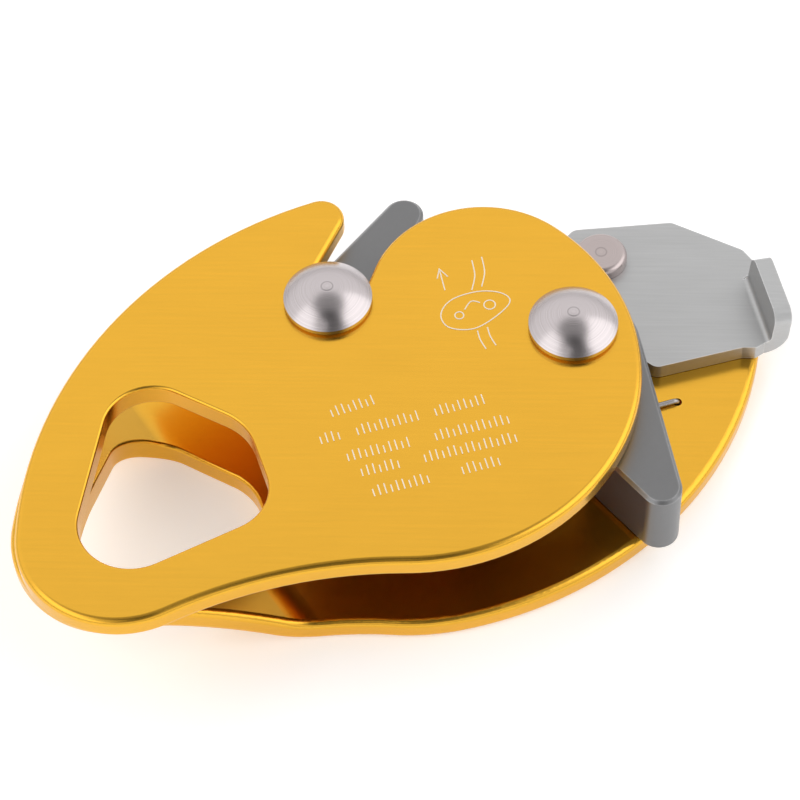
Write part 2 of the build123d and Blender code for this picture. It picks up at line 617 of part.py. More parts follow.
# --------------------------------------------------------------------------- springs
def coil_spring(centre, start, radius, wire, turns, leg, hook):
    """Coil standing on the rear plate with a straight leg, hooked down where hook is set."""
    pitch = wire * PITCH_RATIO
    drop = leg * pitch / (2 * pi * radius)
    with BuildLine() as path:
        if hook:
            FilletPolyline((radius, leg, -drop - hook), (radius, leg, -drop), (radius, 0, 0),
                           radius=SPRING_BEND_R)
        else:
            Line((radius, leg, -drop), (radius, 0, 0))
        Helix(pitch, pitch * turns, radius, lefthand=True)
    with BuildSketch(Plane(origin=path.wires()[0] @ 0, z_dir=path.wires()[0] % 0)) as section:
        Circle(wire / 2)
    coil = sweep(section.sketch, path=path.wires()[0], mode=Mode.PRIVATE)
    add(coil.moved(Location((centre[0], centre[1], PLATE_T + wire / 2 + drop), (0, 0, start))))


with BuildPart() as cam_spring:
    coil_spring(CAM_PIVOT, CAM_LEG_START, COIL_R, SPRING_WIRE, SPRING_TURNS, CAM_LEG_LENGTH,
                SPRING_HOOK)

with BuildPart() as lever_spring:
    coil_spring(STOP_RIVET, LEVER_LEG_START, COIL_R, SPRING_WIRE, SPRING_TURNS, LEVER_LEG_LENGTH,
                SPRING_HOOK)

with BuildPart() as catch_spring:
    coil_spring(POST_CENTRE, CATCH_LEG_START, CATCH_COIL_R, CATCH_WIRE, CATCH_COIL_TURNS,
                CATCH_LEG_LENGTH, 0)


# ---------------------------------------------------------------------------- export
PIECES = {
    "rear_plate": rear_plate, "front_plate": front_plate, "front_plate_bush": front_plate_bush,
    "main_rivet": main_rivet, "stop_rivet": stop_rivet, "catch_rivet": catch_rivet,
    "cam_sleeve": cam_sleeve, "stop_sleeve": stop_sleeve, "catch_sleeve": catch_sleeve,
    "cam_washer_lower": cam_washer_lower, "cam_washer_upper": cam_washer_upper,
    "lever_washer_lower": lever_washer_lower, "lever_washer_upper": lever_washer_upper,
    "brake_cam": brake_cam, "cam_bush": cam_bush, "cam_spring": cam_spring,
    "cam_stop_pin": cam_stop_pin, "rope_lever": rope_lever, "lever_bush": lever_bush,
    "lever_spring": lever_spring, "lever_stop_pin": lever_stop_pin, "cam_catch": cam_catch,
    "catch_stop_pin": catch_stop_pin, "catch_spring": catch_spring, "spring_post": spring_post,
}
os.makedirs("parts", exist_ok=True)
for label, piece in PIECES.items():
    piece.part.label = label
    export_step(piece.part, f"parts/{label}.step")
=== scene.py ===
"""Looks of a rope grab: anodised side plates, sprung cam, rope lever, catch and rivets."""
import math

import bmesh
import bpy
from bpy.props import FloatProperty, FloatVectorProperty, IntProperty, PointerProperty
from mathutils import Matrix, Vector


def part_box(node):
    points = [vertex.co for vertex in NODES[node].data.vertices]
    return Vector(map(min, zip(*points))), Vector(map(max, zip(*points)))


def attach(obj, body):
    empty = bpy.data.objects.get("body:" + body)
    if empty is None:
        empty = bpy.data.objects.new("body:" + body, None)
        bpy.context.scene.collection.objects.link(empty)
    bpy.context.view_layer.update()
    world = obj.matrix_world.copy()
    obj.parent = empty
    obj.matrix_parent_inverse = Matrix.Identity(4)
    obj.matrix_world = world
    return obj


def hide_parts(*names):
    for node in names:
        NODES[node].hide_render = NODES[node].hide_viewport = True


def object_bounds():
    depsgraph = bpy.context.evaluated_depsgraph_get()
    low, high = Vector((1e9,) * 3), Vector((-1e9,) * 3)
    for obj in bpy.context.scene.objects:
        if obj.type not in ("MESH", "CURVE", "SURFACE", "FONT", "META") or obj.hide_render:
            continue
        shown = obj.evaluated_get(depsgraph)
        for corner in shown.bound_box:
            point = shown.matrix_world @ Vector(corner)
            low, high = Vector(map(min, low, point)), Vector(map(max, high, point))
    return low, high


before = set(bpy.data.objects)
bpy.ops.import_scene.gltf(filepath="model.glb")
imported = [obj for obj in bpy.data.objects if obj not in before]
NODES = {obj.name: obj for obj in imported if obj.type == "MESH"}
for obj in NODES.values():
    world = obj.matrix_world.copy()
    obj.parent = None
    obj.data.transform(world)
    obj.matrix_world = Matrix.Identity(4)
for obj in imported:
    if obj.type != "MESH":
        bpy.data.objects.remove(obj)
CAD_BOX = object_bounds()
MM = 0.001

bl_info = {
    "name": "Rope grab",
    "version": (1, 0, 0),
    "blender": (4, 5, 0),
    "location": "View3D > Sidebar > Rope Grab",
    "description": "Finishes, laser marks and stage for a rope grab with hinged side plates",
    "category": "Object",
}

GREY_NODES = ("brake_cam", "rope_lever")
CATCH_NODES = ("cam_catch",)
FLAT_RIVET_NODES = ("catch_rivet", "spring_post")
PIN_NODES = ("cam_stop_pin", "lever_stop_pin", "catch_stop_pin", "cam_sleeve", "stop_sleeve",
             "catch_sleeve")
BRONZE_NODES = ("cam_bush", "lever_bush", "front_plate_bush", "cam_washer_lower", "cam_washer_upper",
                "lever_washer_lower", "lever_washer_upper")
SPRING_NODES = ("cam_spring", "lever_spring", "catch_spring")


def middle(node):
    """Centre of a CAD node's box."""
    low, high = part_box(node)
    return (low + high) / 2


CAM_PIVOT = middle("main_rivet")
STOP_RIVET = middle("stop_rivet")
CATCH_PIVOT = middle("catch_rivet")
FACE_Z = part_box("front_plate")[1].z
MERGE = 0.001 * MM            # vertices of the CAD mesh nearer than this are one

# Shared effects: noise scales are per metre
CLOUD_SCALE = 70.0
CLOUD_SHARE = 0.7             # of the grain's mask; fine specks make up the rest
SPECK_SCALE = 900.0
BEVEL_SAMPLES = 6
EDGE_GAIN = 9.0               # turns a small bend of the rounded normal into the full edge mark: wear on the coating, a painted highlight on the gold and the catch
EDGE_LEAST = 0.35             # mark left where the breakup is darkest
PRESSED_WIDTH = 0.22 * MM     # half the width of the ring pressed into a rivet
PRESSED_DEPTH = 1.5           # against the height of the lathe marks
LINE_TURN = math.radians(-24.5)    # rolling direction in plan
LINE_STRETCH = (0.03, 1, 1)   # along, across and through the sheet
LINE_SHARE = 0.6              # of the brushed mask; broad streaks make up the rest
STREAK_STRETCH = (0.5, 1, 1)
STREAK_SCALE = 160.0

# Roughness of each finish
GOLD_ROUGHNESS = 0.24
GREY_ROUGHNESS = 0.34
SHEET_ROUGHNESS = 0.42
RIVET_ROUGHNESS = 0.24
FLAT_RIVET_ROUGHNESS = 0.3
PIN_ROUGHNESS = 0.3
BRONZE_ROUGHNESS = 0.4
WIRE_ROUGHNESS = 0.28
MARK_ROUGHNESS = 0.6
FLOOR_ROUGHNESS = 0.9

# Laser marks: points on the front plate in millimetres
ROPE_SHIFTS = (0.0, 1.7)      # the rope is two lines side by side
ROPE_ABOVE = ((7.4, 8.4), (6.6, 5.4), (5.0, 2.9))
ROPE_BELOW = ((2.6, -4.8), (2.3, -6.6), (2.4, -8.6))
SIGN_OUTLINE = ((-1.4, 0.4), (1.2, 2.4), (5.6, 2.3), (8.9, 0.6), (9.6, -1.6), (6.4, -3.4), (2.2, -4.2),
                (-1.2, -2.4))
SIGN_PINS = (((1.2, -0.9), 0.7), ((6.4, -0.9), 0.9))
SIGN_BEND = ((2.4, -0.2), (4.0, 0.9), (5.2, 0.1))
ARROW_SHAFT = ((1.9, 8.6), (1.1, 4.6))
ARROW_HEAD = ((0.9, 7.2), (1.95, 8.9), (2.6, 6.9))
RING_TURN = 345               # degrees of a ring that its points cover
MITRE_LEAST = 0.5             # keeps a ribbon's sharpest corners short
SHORT_TICK = 0.45             # rise of every third tick over its row, against the others' rise
SHORT_TICK_STEP = 3
DATA_ROWS = (((-24.2, -10.0), (-17.2, -10.4), (8,)),        # start, end, ticks in each group
             ((-27.6, -14.0), (-1.0, -17.3), (4, 11, 9)),
             ((-25.0, -18.6), (1.0, -22.2), (11, 13)),
             ((-24.1, -22.0), (0.7, -25.8), (7, 16)),
             ((-23.9, -26.1), (-3.4, -28.7), (10, 7)))

# Stage: lengths in metres
FLOOR_GAP = 0.05 * MM
FLOOR_CLOUD_SCALE = 2.0
FLOOR_SHADES = ((0.93, 0.93, 0.93, 1), (0.95, 0.95, 0.95, 1))
FLOOR_GLOW = 0.3
ROOM_BY_HEIGHT = ((0.0, 0.55), (0.3, 1.0), (0.86, 1.05), (0.95, 0.35))
PATCH_EDGE = math.radians(34)      # the dark patch starts here, off the way to the camera
PATCH_CORE = math.radians(16)      # and is darkest from here on
PATCH_SHADE = 0.1
RIGHT_LIGHT = Vector((0.85, -0.35, 0.75))     # from the tool's middle, as is the left one
LEFT_LIGHT = Vector((-0.85, -0.25, 0.8))
LIGHT_SIZE = (1.3, 1.1)
AIM_SHIFT = Vector((-1.9, -4.4, 7.05)) * MM    # where the camera looks, from the tool's middle
SENSOR_WIDTH = 36
CLIP_START = 0.01


# ------------------------------------------------------------------------- properties
def colour(name, description, default):
    """A linear colour that a user can change."""
    return FloatVectorProperty(name=name, description=description, default=default, size=4,
                               subtype="COLOR", min=0, max=1)


class RopeGrabFinishes(bpy.types.PropertyGroup):
    gold: colour("Gold", "Dye of the anodised side plates", (0.80, 0.43, 0.045, 1))
    # Paler, yellower gold laid along the rounded rims: a painted highlight
    gold_rim_highlight: colour("Gold edge", "Painted highlight along the rims", (0.88, 0.53, 0.09, 1))
    grey: colour("Grey", "Coating of cam and lever", (0.205, 0.205, 0.208, 1))
    grey_edge: colour("Grey edge", "Coating rubbed along its edges", (0.42, 0.42, 0.42, 1))
    catch: colour("Catch", "Brushed steel of the catch", (0.49, 0.49, 0.49, 1))
    rivet: colour("Rivets", "Turned steel of the rivets", (0.56, 0.51, 0.515, 1))
    blush: colour("Catch rivet", "Warmer steel of the catch's rivet", (0.5, 0.43, 0.42, 1))
    pin: colour("Pins", "Ground steel of pins and sleeves", (0.4, 0.4, 0.41, 1))
    bronze: colour("Bronze", "Bushes and washers", (0.5, 0.3, 0.12, 1))
    wire: colour("Spring wire", "Drawn spring wire", (0.38, 0.36, 0.36, 1))
    marks: colour("Marks", "Laser marks on the front plate", (0.9, 0.78, 0.62, 1))


class RopeGrabRims(bpy.types.PropertyGroup):
    outer: FloatProperty(name="Outer rim", description="Rounding of the front plate's rim",
                         default=1.1 * MM, unit="LENGTH", precision=5)
    eye: FloatProperty(name="Eye rim", description="Rounding of the connector eye's rim",
                       default=0.5 * MM, unit="LENGTH", precision=5)
    steps: IntProperty(name="Steps", description="Faces across a rounded rim", default=8, min=2)


class RopeGrabMarks(bpy.types.PropertyGroup):
    stroke: FloatProperty(name="Stroke", description="Width of a marked line", default=0.2 * MM,
                          unit="LENGTH", precision=5)
    lift: FloatProperty(name="Lift", description="Height of a mark over the plate", default=0.03 * MM,
                        unit="LENGTH", precision=6)
    tick: FloatProperty(name="Tick", description="Height of a tick in the data rows",
                        default=1.9 * MM, unit="LENGTH", precision=5)
    pitch: FloatProperty(name="Pitch", description="Step from one tick to the next",
                         default=0.95 * MM, unit="LENGTH", precision=5)


class RopeGrabStage(bpy.types.PropertyGroup):
    floor: FloatProperty(name="Floor", description="Side of the floor", default=6.0, unit="LENGTH")
    distance: FloatProperty(name="Camera distance", description="Camera to the tool", default=0.46,
                            unit="LENGTH")
    elevation: FloatProperty(name="Camera elevation", description="Camera above the floor",
                             default=math.radians(54.5), subtype="ANGLE")
    turn: FloatProperty(name="Camera turn", description="Look direction off the tool's own Y",
                        default=math.radians(20.6), subtype="ANGLE")
    roll: FloatProperty(name="Camera roll", description="Camera tilt about its axis",
                        default=math.radians(2.7), subtype="ANGLE")
    lens: FloatProperty(name="Lens", description="Focal length on a 36 mm sensor", default=133.65)
    room: FloatProperty(name="Room", description="Brightness of the soft room", default=1.05, min=0)
    key: FloatProperty(name="Key light", description="Power of the light at the right", default=3.2,
                       unit="POWER")
    fill: FloatProperty(name="Fill light", description="Power of the light at the left",
                        default=2.6, unit="POWER")


# ------------------------------------------------------------------------ node helpers
def new_group(name, inputs, outputs):
    """Shader node group with float inputs (name, default) and named outputs."""
    group = bpy.data.node_groups.new(name, "ShaderNodeTree")
    for label, default in inputs:
        socket = group.interface.new_socket(label, in_out="INPUT", socket_type="NodeSocketFloat")
        socket.default_value = default
    for label, kind in outputs:
        group.interface.new_socket(label, in_out="OUTPUT", socket_type=kind)
    source = group.nodes.new("NodeGroupInput")
    target = group.nodes.new("NodeGroupOutput")
    return group, source, target


def add_node(tree, kind, **values):
    """Node with its properties set."""
    node = tree.nodes.new(kind)
    for key, value in values.items():
        setattr(node, key, value)
    return node


def calculate(tree, operation, first, second=0.0, clamp=False):
    """Math node; each operand is a socket or a number."""
    node = add_node(tree, "ShaderNodeMath", operation=operation, use_clamp=clamp)
    for index, value in enumerate((first, second)):
        if isinstance(value, (int, float)):
            node.inputs[index].default_value = value
        else:
            tree.links.new(value, node.inputs[index])
    return node.outputs[0]


def object_point(tree):
    """Place on the piece, in its own space."""
    return add_node(tree, "ShaderNodeTexCoord").outputs["Object"]


def stretched_noise(tree, size, scale, detail=4.0, roughness=0.55, turn=0.0):
    """Noise in the object's own space, stretched by three factors and turned in plan."""
    mapping = add_node(tree, "ShaderNodeMapping")
    mapping.vector_type = "TEXTURE"
    mapping.inputs["Rotation"].default_value = (0, 0, turn)
    tree.links.new(object_point(tree), mapping.inputs["Vector"])
    mapping.inputs["Scale"].default_value = tuple(1 / factor for factor in size)
    noise = add_node(tree, "ShaderNodeTexNoise")
    noise.inputs["Detail"].default_value = detail
    noise.inputs["Roughness"].default_value = roughness
    tree.links.new(mapping.outputs[0], noise.inputs["Vector"])
    if isinstance(scale, (int, float)):
        noise.inputs["Scale"].default_value = scale
    else:
        tree.links.new(scale, noise.inputs["Scale"])
    return noise.outputs["Fac"]


def grain_group():
    """Fine blasted grain with slow cloudiness: a mask, a roughness and a height."""
    group, source, target = new_group(
        "blasted_grain",
        (("Scale", 4200.0), ("Roughness", 0.4), ("Variation", 0.08)),
        (("Mask", "NodeSocketFloat"), ("Roughness", "NodeSocketFloat"), ("Height", "NodeSocketFloat")))
    fine = stretched_noise(group, (1, 1, 1), source.outputs["Scale"], detail=3.0)
    cloud = stretched_noise(group, (1, 1, 1), CLOUD_SCALE)
    speck = stretched_noise(group, (1, 1, 1), SPECK_SCALE, detail=2.0)
    mask = calculate(group, "ADD", calculate(group, "MULTIPLY", cloud, CLOUD_SHARE),
                     calculate(group, "MULTIPLY", speck, 1 - CLOUD_SHARE))
    offset = calculate(group, "MULTIPLY", calculate(group, "SUBTRACT", mask, 0.5),
                       source.outputs["Variation"])
    rough = calculate(group, "ADD", source.outputs["Roughness"], offset, clamp=True)
    group.links.new(mask, target.inputs["Mask"])
    group.links.new(rough, target.inputs["Roughness"])
    group.links.new(fine, target.inputs["Height"])
    return group


def edge_group():
    """Mask of outer edges, from the difference between the face's and a rounded normal: rubbed wear on
    the grey coating, a painted highlight on the gold and on the catch.
    """
    group, source, target = new_group(
        "edge_wear_and_highlight", (("Width", 0.5 * MM), ("Amount", 1.0)), (("Mask", "NodeSocketFloat"),))
    bevel = add_node(group, "ShaderNodeBevel", samples=BEVEL_SAMPLES)
    group.links.new(source.outputs["Width"], bevel.inputs["Radius"])
    shape = add_node(group, "ShaderNodeNewGeometry")
    dot = add_node(group, "ShaderNodeVectorMath", operation="DOT_PRODUCT")
    group.links.new(bevel.outputs["Normal"], dot.inputs[0])
    group.links.new(shape.outputs["Normal"], dot.inputs[1])
    away = calculate(group, "SUBTRACT", 1.0, dot.outputs["Value"])
    bend = calculate(group, "MULTIPLY", away, EDGE_GAIN, clamp=True)
    breakup = stretched_noise(group, (1, 1, 1), SPECK_SCALE, detail=3.0)
    cover = calculate(group, "ADD", breakup, EDGE_LEAST)
    wear_and_highlight = calculate(group, "MULTIPLY", bend, cover, clamp=True)
    group.links.new(calculate(group, "MULTIPLY", wear_and_highlight, source.outputs["Amount"], clamp=True),
                    target.inputs["Mask"])
    return group


def rings_group():
    """Lathe marks about an upright axis: a mask, a height and a pressed ring at the middle."""
    group, source, target = new_group(
        "turned_rings",
        (("Centre X", 0.0), ("Centre Y", 0.0), ("Rings", 7000.0), ("Pressed radius", 0.9 * MM)),
        (("Mask", "NodeSocketFloat"), ("Height", "NodeSocketFloat"), ("Pressed", "NodeSocketFloat")))
    split = add_node(group, "ShaderNodeSeparateXYZ")
    group.links.new(object_point(group), split.inputs[0])
    across = calculate(group, "SUBTRACT", split.outputs["X"], source.outputs["Centre X"])
    along = calculate(group, "SUBTRACT", split.outputs["Y"], source.outputs["Centre Y"])
    square = calculate(group, "ADD", calculate(group, "MULTIPLY", across, across),
                       calculate(group, "MULTIPLY", along, along))
    radius = calculate(group, "SQRT", square)
    noise = add_node(group, "ShaderNodeTexNoise", noise_dimensions="1D")
    noise.inputs["Scale"].default_value = 1.0
    noise.inputs["Detail"].default_value = 3.0
    group.links.new(calculate(group, "MULTIPLY", radius, source.outputs["Rings"]), noise.inputs["W"])
    away = calculate(group, "ABSOLUTE", calculate(group, "SUBTRACT", radius,
                                                  source.outputs["Pressed radius"]))
    pressed = calculate(group, "SUBTRACT", 1.0, calculate(group, "DIVIDE", away, PRESSED_WIDTH),
                        clamp=True)
    sunk = calculate(group, "SUBTRACT", noise.outputs["Fac"],
                     calculate(group, "MULTIPLY", pressed, PRESSED_DEPTH))
    group.links.new(noise.outputs["Fac"], target.inputs["Mask"])
    group.links.new(sunk, target.inputs["Height"])
    group.links.new(pressed, target.inputs["Pressed"])
    return group


def brushed_group():
    """Fine straight lines left by rolling and brushing: a mask and a height."""
    group, source, target = new_group(
        "brushed_lines", (("Scale", 2600.0),),
        (("Mask", "NodeSocketFloat"), ("Height", "NodeSocketFloat")))
    lines = stretched_noise(group, LINE_STRETCH, source.outputs["Scale"], detail=2.0, turn=LINE_TURN)
    streaks = stretched_noise(group, STREAK_STRETCH, STREAK_SCALE, turn=LINE_TURN)
    mask = calculate(group, "ADD", calculate(group, "MULTIPLY", lines, LINE_SHARE),
                     calculate(group, "MULTIPLY", streaks, 1 - LINE_SHARE))
    group.links.new(mask, target.inputs["Mask"])
    group.links.new(lines, target.inputs["Height"])
    return group


GROUP_MAKERS = {"blasted_grain": grain_group, "edge_wear_and_highlight": edge_group, "turned_rings": rings_group,
                "brushed_lines": brushed_group}


def effect(tree, name, **values):
    """Places a shared effect in a material with its own values."""
    group = bpy.data.node_groups.get(name) or GROUP_MAKERS[name]()
    node = add_node(tree, "ShaderNodeGroup", node_tree=group)
    for label, value in values.items():
        node.inputs[label.replace("_", " ")].default_value = value
    return node


def blend_colours(tree, fac, first, second):
    """Colour mix; each colour is a socket or a tuple."""
    node = add_node(tree, "ShaderNodeMix", data_type="RGBA")
    tree.links.new(fac, node.inputs["Factor"])
    for socket, value in ((node.inputs[6], first), (node.inputs[7], second)):
        if isinstance(value, bpy.types.NodeSocket):
            tree.links.new(value, socket)
        else:
            socket.default_value = value
    return node.outputs[2]


def shade(colour_value, factor):
    """A colour made lighter or darker."""
    return tuple(min(1, channel * factor) for channel in colour_value[:3]) + (1,)


def mottled(tree, mask, tint, dark, light):
    """A colour that wavers between a darker and a lighter shade of itself."""
    return blend_colours(tree, mask, shade(tint, dark), shade(tint, light))


def new_material(name, metallic, roughness):
    """Empty material with a Principled BSDF, returned with its tree."""
    material = bpy.data.materials.new(name)
    material.use_nodes = True
    tree = material.node_tree
    shader = tree.nodes["Principled BSDF"]
    shader.inputs["Metallic"].default_value = metallic
    shader.inputs["Roughness"].default_value = roughness
    return material, tree, shader


def relief(tree, shader, height, strength, distance):
    """Bump from a height, with its strength and distance in metres."""
    bump = add_node(tree, "ShaderNodeBump")
    bump.inputs["Strength"].default_value = strength
    bump.inputs["Distance"].default_value = distance
    tree.links.new(height, bump.inputs["Height"])
    tree.links.new(bump.outputs["Normal"], shader.inputs["Normal"])


def anodised_material(finishes):
    """Satin gold anodising over rolled plate: fine lines, slow cloudiness, and a paler, yellower rim that
    is a painted highlight.
    """
    material, tree, shader = new_material("gold_anodising", metallic=1.0, roughness=GOLD_ROUGHNESS)
    grain = effect(tree, "blasted_grain", Scale=5200.0, Roughness=GOLD_ROUGHNESS, Variation=0.1)
    lines = effect(tree, "brushed_lines", Scale=2400.0)
    edge = effect(tree, "edge_wear_and_highlight", Width=0.5 * MM, Amount=0.4)
    body = mottled(tree, lines.outputs["Mask"], finishes.gold, dark=0.93, light=1.07)
    # The rims turn paler and yellower: a painted highlight, broken up by the edge mask's noise
    tint = blend_colours(tree, edge.outputs["Mask"], body, tuple(finishes.gold_rim_highlight))
    tree.links.new(tint, shader.inputs["Base Color"])
    tree.links.new(grain.outputs["Roughness"], shader.inputs["Roughness"])
    relief(tree, shader, lines.outputs["Height"], strength=0.08, distance=0.02 * MM)
    return material


def grey_material(finishes):
    """Grey coated steel, rubbed bright along its edges."""
    material, tree, shader = new_material("grey_coating", metallic=0.85, roughness=GREY_ROUGHNESS)
    grain = effect(tree, "blasted_grain", Scale=3000.0, Roughness=GREY_ROUGHNESS, Variation=0.14)
    edge = effect(tree, "edge_wear_and_highlight", Width=0.45 * MM, Amount=0.9)
    body = mottled(tree, grain.outputs["Mask"], finishes.grey, dark=0.88, light=1.12)
    tint = blend_colours(tree, edge.outputs["Mask"], body, tuple(finishes.grey_edge))
    tree.links.new(tint, shader.inputs["Base Color"])
    tree.links.new(grain.outputs["Roughness"], shader.inputs["Roughness"])
    relief(tree, shader, grain.outputs["Height"], strength=0.25, distance=0.03 * MM)
    return material


def catch_material(finishes):
    """Brushed steel sheet, with a painted highlight along its edges."""
    material, tree, shader = new_material("brushed_sheet", metallic=0.9, roughness=SHEET_ROUGHNESS)
    lines = effect(tree, "brushed_lines", Scale=2600.0)
    edge = effect(tree, "edge_wear_and_highlight", Width=0.35 * MM, Amount=0.7)
    body = mottled(tree, lines.outputs["Mask"], finishes.catch, dark=0.86, light=1.14)
    # Edges lifted to 1.6 times the steel's colour: a painted highlight
    tint = blend_colours(tree, edge.outputs["Mask"], body, shade(finishes.catch, 1.6))
    tree.links.new(tint, shader.inputs["Base Color"])
    relief(tree, shader, lines.outputs["Height"], strength=0.18, distance=0.02 * MM)
    return material


def turned_material(name, tint, centre, roughness):
    """Turned steel with lathe marks about its own centre."""
    material, tree, shader = new_material(name, metallic=1.0, roughness=roughness)
    rings = effect(tree, "turned_rings", Centre_X=centre.x, Centre_Y=centre.y, Rings=6500.0)
    body = mottled(tree, rings.outputs["Mask"], tint, dark=0.82, light=1.14)
    marked = blend_colours(tree, rings.outputs["Pressed"], body, shade(tint, 0.72))
    tree.links.new(marked, shader.inputs["Base Color"])
    relief(tree, shader, rings.outputs["Height"], strength=0.3, distance=0.03 * MM)
    return material


def drawn_material(name, tint, roughness):
    """Drawn or ground metal with fine grain."""
    material, tree, shader = new_material(name, metallic=1.0, roughness=roughness)
    grain = effect(tree, "blasted_grain", Scale=2600.0, Roughness=roughness, Variation=0.2)
    body = mottled(tree, grain.outputs["Mask"], tint, dark=0.8, light=1.2)
    tree.links.new(body, shader.inputs["Base Color"])
    tree.links.new(grain.outputs["Roughness"], shader.inputs["Roughness"])
    relief(tree, shader, grain.outputs["Height"], strength=0.15, distance=0.02 * MM)
    return material


def mark_material(finishes):
    """Pale laser mark, a little uneven in its cover."""
    material, tree, shader = new_material("laser_mark", metallic=0.0, roughness=MARK_ROUGHNESS)
    grain = effect(tree, "blasted_grain", Scale=3600.0, Roughness=MARK_ROUGHNESS, Variation=0.2)
    body = mottled(tree, grain.outputs["Mask"], finishes.marks, dark=0.84, light=1.1)
    tree.links.new(body, shader.inputs["Base Color"])
    tree.links.new(grain.outputs["Roughness"], shader.inputs["Roughness"])
    return material


def floor_material():
    """Pale matt floor with a trace of unevenness, lit a little from within to soften shadows."""
    material, tree, shader = new_material("pale_floor", metallic=0.0, roughness=FLOOR_ROUGHNESS)
    cloud = stretched_noise(tree, (1, 1, 1), FLOOR_CLOUD_SCALE)
    tree.links.new(blend_colours(tree, cloud, *FLOOR_SHADES), shader.inputs["Base Color"])
    shader.inputs["Emission Color"].default_value = (1, 1, 1, 1)
    shader.inputs["Emission Strength"].default_value = FLOOR_GLOW
    return material


def dress(nodes, material):
    """Gives CAD nodes a material."""
    for name in nodes:
        node = NODES[name]
        node.data.materials.clear()
        node.data.materials.append(material)


# --------------------------------------------------------------------------- geometry
def piece_from(name, bm, material, body):
    """Object from a bmesh that rides on a body."""
    mesh = bpy.data.meshes.new(name)
    bm.to_mesh(mesh)
    bm.free()
    mesh.materials.append(material)
    piece = bpy.data.objects.new(name, mesh)
    bpy.context.scene.collection.objects.link(piece)
    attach(piece, body)
    return piece


def ribbon(bm, points, width, z, closed=False):
    """Flat line along points at one height, with mitred joints."""
    half = width / 2
    count = len(points)
    rails = []
    for index, (x, y) in enumerate(points):
        before = points[index - 1] if index or closed else points[index]
        after = points[(index + 1) % count] if index + 1 < count or closed else points[index]
        along = Vector((after[0] - before[0], after[1] - before[1])).normalized()
        side = Vector((-along.y, along.x)) * half / mitre(before, points[index], after)
        left, right = (x + side.x, y + side.y, z), (x - side.x, y - side.y, z)
        rails.append((bm.verts.new(left), bm.verts.new(right)))
    pairs = list(zip(rails, rails[1:] + (rails[:1] if closed else [])))
    for (left, right), (next_left, next_right) in pairs[:count if closed else count - 1]:
        bm.faces.new((left, right, next_right, next_left))


def mitre(before, here, after):
    """Cosine of half the turn at a corner, so that a ribbon keeps its width there."""
    arriving = Vector(here) - Vector(before)
    leaving = Vector(after) - Vector(here)
    if not arriving.length or not leaving.length:
        return 1.0
    return max(MITRE_LEAST, math.cos(arriving.angle(leaving) / 2))


def ring_points(centre, radius, steps=24):
    """Points round a small ring, which a closed ribbon completes."""
    turn = [math.radians(RING_TURN * i / steps) for i in range(steps + 1)]
    return [(centre[0] + radius * math.cos(a), centre[1] + radius * math.sin(a)) for a in turn]


def smooth_points(corners, steps=8, closed=False):
    """Catmull-Rom curve through a few points."""
    count = len(corners)
    result = []
    for i in range(count if closed else count - 1):
        p0, p1 = Vector(corners[i - 1 if i or closed else 0]), Vector(corners[i])
        p2 = Vector(corners[(i + 1) % count])
        p3 = Vector(corners[(i + 2) % count if closed else min(i + 2, count - 1)])
        for s in range(steps):
            t = s / steps
            point = 0.5 * (2 * p1 + (p2 - p0) * t + (2 * p0 - 5 * p1 + 4 * p2 - p3) * t * t
                           + (3 * p1 - p0 - 3 * p2 + p3) * t ** 3)
            result.append((point.x, point.y))
    if not closed:
        result.append(tuple(corners[-1]))
    return result


def scaled(points, shift=0.0):
    """Points given in millimetres, in metres, moved along X if asked."""
    return [((x + shift) * MM, y * MM) for x, y in points]


def flat_skin(node):
    """Mesh of a plate's flat upper skin, cut out of the CAD node."""
    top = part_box(node)[1].z
    bm = bmesh.new()
    bm.from_mesh(NODES[node].data)
    bmesh.ops.remove_doubles(bm, verts=bm.verts, dist=MERGE)
    lower = [f for f in bm.faces if any(abs(v.co.z - top) > MERGE for v in f.verts)]
    bmesh.ops.delete(bm, geom=lower, context="FACES")
    return bm


def boundary_loops(bm):
    """Loops of vertices round a flat skin, each vertex with its way out of the plate."""
    edges = {}
    for edge in bm.edges:
        if len(edge.link_faces) == 1:
            for vert in edge.verts:
                edges.setdefault(vert, []).append(edge)
    loops, seen = [], set()
    for start in edges:
        chain, vert = [], start
        while vert not in seen:
            seen.add(vert)
            chain.append(vert)
            vert = next((e.other_vert(vert) for e in edges[vert] if e.other_vert(vert) not in seen), vert)
        if chain:
            loops.append([(v, way_out(v, edges[v])) for v in chain])
    return loops


def way_out(vert, edges):
    """Level unit vector out of the plate at a boundary vertex; the shorter edge counts for more."""
    total = Vector((0, 0, 0))
    for edge in edges:
        run = (edge.verts[1].co - edge.verts[0].co)
        side = Vector((-run.y, run.x, 0)).normalized()
        if side.dot(edge.link_faces[0].calc_center_median() - edge.verts[0].co) > 0:
            side = -side
        total += side / run.length
    return total.normalized()


def rim_profile(radius, steps, thickness):
    """Outset, drop and tilt of each ring down a plate's rim."""
    if not radius:
        return [(0.0, 0.0, 90.0), (0.0, thickness, 90.0)]
    upper = []
    for step in range(steps + 1):
        tilt = math.radians(90 * step / steps)
        upper.append((radius * math.sin(tilt), radius * (1 - math.cos(tilt)), 90 * step / steps))
    lower = [(out, thickness - drop, 180 - tilt) for out, drop, tilt in reversed(upper)]
    return upper + lower


